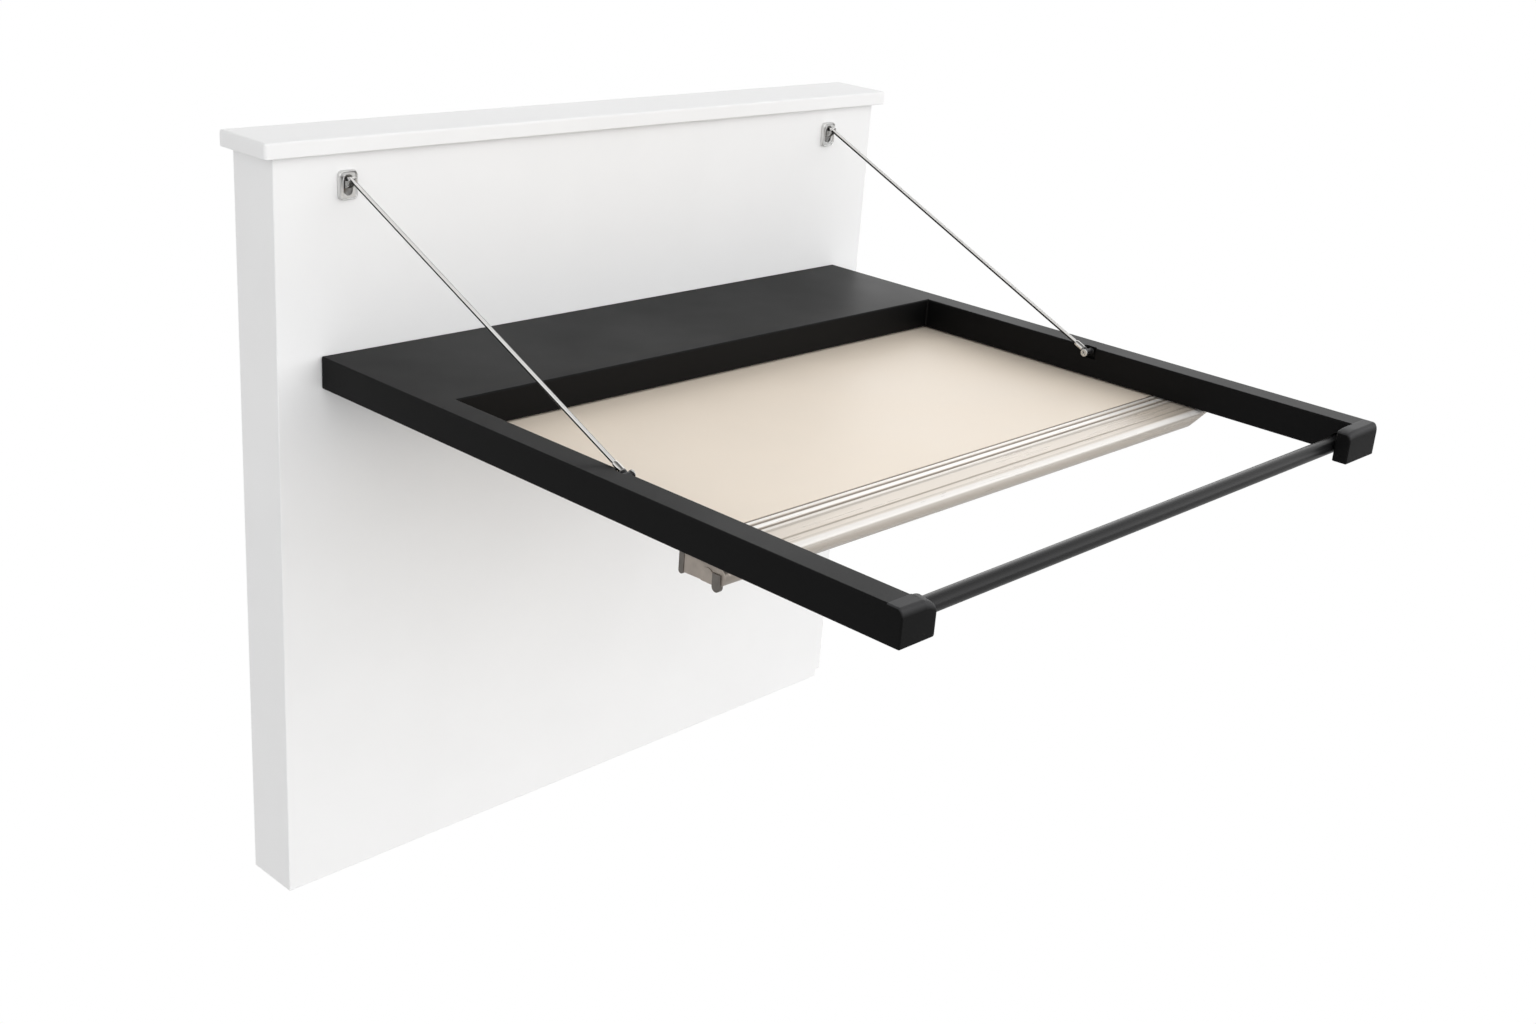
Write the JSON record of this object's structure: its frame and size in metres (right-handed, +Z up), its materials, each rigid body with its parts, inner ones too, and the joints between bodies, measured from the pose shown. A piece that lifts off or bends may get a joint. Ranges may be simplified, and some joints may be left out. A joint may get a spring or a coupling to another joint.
{
  "type": "wall mounted fold down drying rack",
  "caption": "Wall board with a folding black frame: rear shelf, front hanging bar, pull-out flat drying tray, and unhooking steel stays that hold it level.",
  "frame": {"origin": "on the wall plane, at the middle of the hinge rail's back face, level with the fold axis", "axes": "+X to the right seen from the room, +Y into the wall, +Z up; the open rack reaches out along -Y"},
  "size_m": [1.002, 0.928, 0.9223],
  "materials": {
    "white_lacquer": "satin white lacquer over board",
    "bare_wood": "unfinished softwood, hidden",
    "black_painted_wood": "black satin paint",
    "black_bar": "black satin coated tube",
    "black_steel": "black coated sheet steel",
    "brushed_nickel": "brushed nickel plate",
    "plated_steel": "zinc plated",
    "polished_steel": "polished",
    "beige_panel": "smooth satin beige",
    "champagne_aluminium": "champagne coated extrusion",
    "bronze_bracket": "warm grey metallic coat"
  },
  "bodies": {
    "backboard": {"backboard_shell": "white_lacquer", "top_rail": "bare_wood", "hinge_rail": "bare_wood", "bottom_rail": "bare_wood", "cap_ledge": "white_lacquer", "board_cleat": "bare_wood", "wall_cleat": "bare_wood", "left_stay_plate": "brushed_nickel", "left_stay_anchor": "plated_steel", "left_hinge_wall_leaf": "black_steel", "left_hinge_pin": "plated_steel", "left_hinge_wall_screw_1": "plated_steel", "left_hinge_wall_screw_2": "plated_steel", "right_stay_plate": "brushed_nickel", "right_stay_anchor": "plated_steel", "right_hinge_wall_leaf": "black_steel", "right_hinge_pin": "plated_steel", "right_hinge_wall_screw_1": "plated_steel", "right_hinge_wall_screw_2": "plated_steel"},
    "rack": {"shelf_deck": "black_painted_wood", "shelf_rear_rail": "black_painted_wood", "shelf_fascia": "black_painted_wood", "front_bar": "black_bar", "left_arm": "black_painted_wood", "left_end_block": "black_painted_wood", "left_end_block_dowel": "bare_wood", "left_rear_dowel": "bare_wood", "left_fascia_dowel": "bare_wood", "left_hinge_rack_leaf": "black_steel", "left_hinge_rack_screw_1": "plated_steel", "left_hinge_rack_screw_2": "plated_steel", "left_tray_runner": "black_steel", "left_runner_screw_1": "plated_steel", "left_runner_screw_2": "plated_steel", "left_stay_screw": "plated_steel", "right_arm": "black_painted_wood", "right_end_block": "black_painted_wood", "right_end_block_dowel": "bare_wood", "right_rear_dowel": "bare_wood", "right_fascia_dowel": "bare_wood", "right_hinge_rack_leaf": "black_steel", "right_hinge_rack_screw_1": "plated_steel", "right_hinge_rack_screw_2": "plated_steel", "right_tray_runner": "black_steel", "right_runner_screw_1": "plated_steel", "right_runner_screw_2": "plated_steel", "right_stay_screw": "plated_steel"},
    "tray": {"tray_panel": "beige_panel", "tray_front_profile": "champagne_aluminium", "tray_left_bracket": "bronze_bracket", "tray_right_end_cap": "champagne_aluminium", "tray_rear_batten": "champagne_aluminium"},
    "left_stay": {"left_stay_rod": "polished_steel", "left_stay_ferrule": "polished_steel"},
    "right_stay": {"right_stay_rod": "polished_steel", "right_stay_ferrule": "polished_steel"}
  },
  "joints": [
    {"name": "rack_fold", "type": "hinge", "parent": "backboard", "child": "rack", "pos_m": [0, -0.09, 0], "axis": [1, 0, 0], "range_deg": [0, 90]},
    {"name": "left_stay_pivot", "type": "hinge", "parent": "rack", "child": "left_stay", "pos_m": [-0.394, -0.548, 0.054], "axis": [1, 0, 0], "range_deg": [0, 154]},
    {"name": "right_stay_pivot", "type": "hinge", "parent": "rack", "child": "right_stay", "pos_m": [0.394, -0.548, 0.054], "axis": [1, 0, 0], "range_deg": [0, 154]},
    {"name": "tray_slide", "type": "slide", "parent": "rack", "child": "tray", "axis": [0, -1, 0], "range_m": [0, 0.1]}
  ]
}
